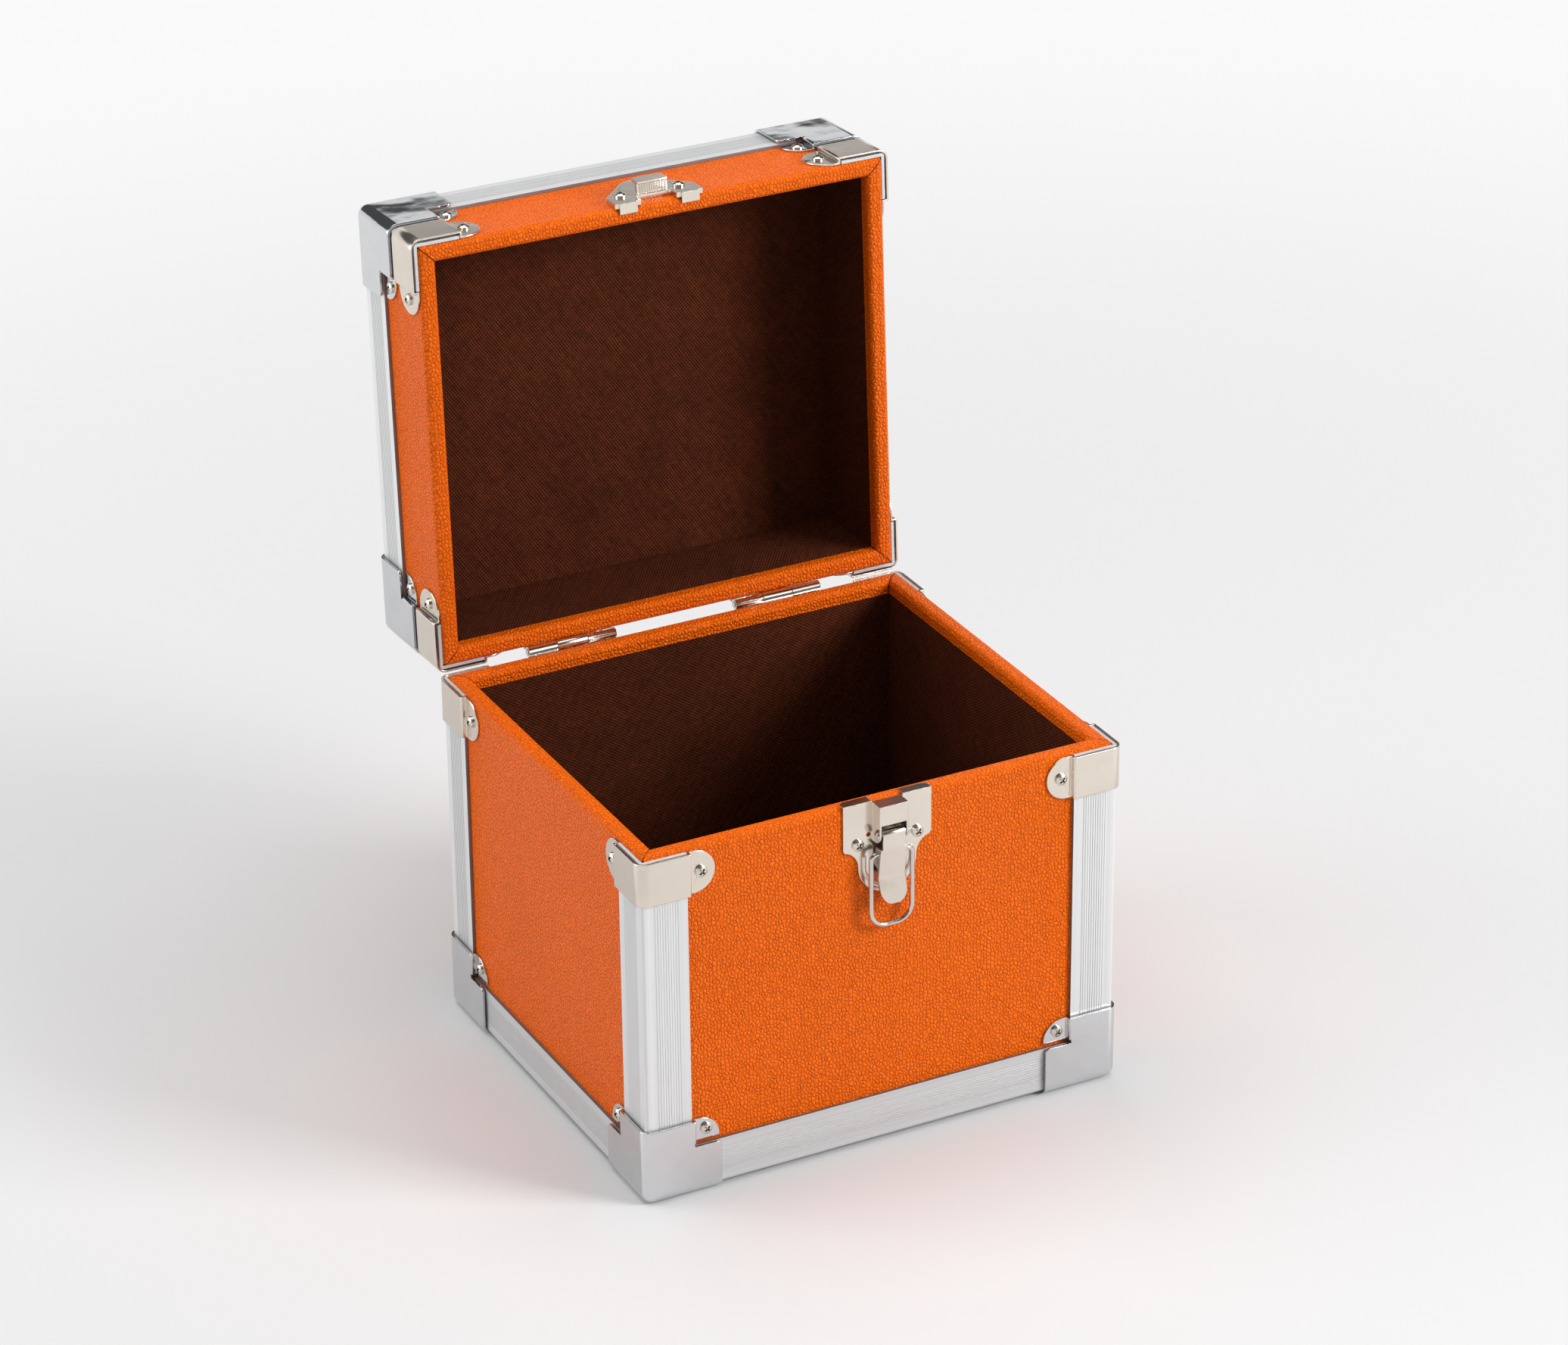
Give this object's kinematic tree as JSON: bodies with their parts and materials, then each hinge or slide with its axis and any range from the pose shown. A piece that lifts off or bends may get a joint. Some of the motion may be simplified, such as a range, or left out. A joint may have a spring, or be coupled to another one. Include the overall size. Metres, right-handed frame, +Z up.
{
  "type": "hinged carrying case for small records",
  "caption": "Covered board carrying case with a hinged lid standing open, ribbed metal edgings, chrome corner fittings, band clamps, a draw latch and a fold-down handle",
  "frame": {"origin": "centre of the box in plan, on the surface that it stands on", "axes": "+X to the right along the front, +Y to the back, +Z up"},
  "size_m": [0.2164, 0.2679, 0.3462],
  "materials": {
    "leatherette": "orange-brown grained covering, satin",
    "lining": "dark brown woven lining",
    "board": "plain board under the covering",
    "edging": "ribbed, lightly worn",
    "corner_chrome": "polished pressed metal",
    "nickel": "nickel plated, slightly tarnished",
    "wire": "plated wire and pins",
    "screw": "plated cross-headed screws, a little dull",
    "grip": "covering wrapped round the grip"
  },
  "bodies": {
    "box": {"box_front_board": "board", "box_back_board": "board", "box_left_board": "board", "box_right_board": "board", "box_floor_board": "board", "box_covering": "leatherette", "box_lining": "lining", "box_upright_edgings": "edging", "box_base_edgings": "edging", "box_corner_front_left": "corner_chrome", "box_corner_front_right": "corner_chrome", "box_corner_back_left": "corner_chrome", "box_corner_back_right": "corner_chrome", "box_clamp_front_left": "nickel", "box_clamp_front_right": "nickel", "box_clamp_back_left": "nickel", "box_clamp_back_right": "nickel", "box_corner_screws": "screw", "box_clamp_screws": "screw", "latch_plate": "nickel", "latch_pin": "wire", "latch_screws": "screw", "hinge_box_leaf_left": "nickel", "hinge_box_leaf_right": "nickel", "hinge_pins": "wire", "hinge_box_screws": "screw"},
    "lid": {"lid_front_board": "board", "lid_back_board": "board", "lid_left_board": "board", "lid_right_board": "board", "lid_top_board": "board", "lid_covering": "leatherette", "lid_lining": "lining", "lid_upright_edgings": "edging", "lid_top_edgings": "edging", "lid_corner_front_left": "corner_chrome", "lid_corner_front_right": "corner_chrome", "lid_corner_back_left": "corner_chrome", "lid_corner_back_right": "corner_chrome", "lid_clamp_front_left": "nickel", "lid_clamp_front_right": "nickel", "lid_clamp_back_left": "nickel", "lid_clamp_back_right": "nickel", "lid_corner_screws": "screw", "lid_clamp_screws": "screw", "keeper": "nickel", "keeper_screws": "screw", "hinge_lid_leaf_left": "nickel", "hinge_lid_leaf_right": "nickel", "hinge_lid_screws": "screw", "handle_bracket_left": "nickel", "handle_bracket_right": "nickel", "handle_pins": "wire", "handle_screws": "screw"},
    "latch_lever": {"latch_lever": "nickel"},
    "latch_bail": {"latch_bail": "wire"},
    "handle": {"handle_arms": "nickel", "handle_grip": "grip"}
  },
  "joints": [
    {"name": "lid_hinge", "type": "hinge", "parent": "box", "child": "lid", "pos_m": [0, 0.0922, 0.156], "axis": [1, 0, 0], "range_deg": [0, 93]},
    {"name": "latch_lever", "type": "hinge", "parent": "box", "child": "latch_lever", "pos_m": [0, -0.0956, 0.1418], "axis": [-1, 0, 0], "range_deg": [0, 85]},
    {"name": "latch_bail", "type": "hinge", "parent": "latch_lever", "child": "latch_bail", "pos_m": [0, -0.0953, 0.1335], "axis": [-1, 0, 0], "range_deg": [0, 100]},
    {"name": "handle_pivot", "type": "hinge", "parent": "lid", "child": "handle", "pos_m": [0, 0.16144, 0.2447], "axis": [1, 0, 0], "range_deg": [-6, 180]}
  ]
}
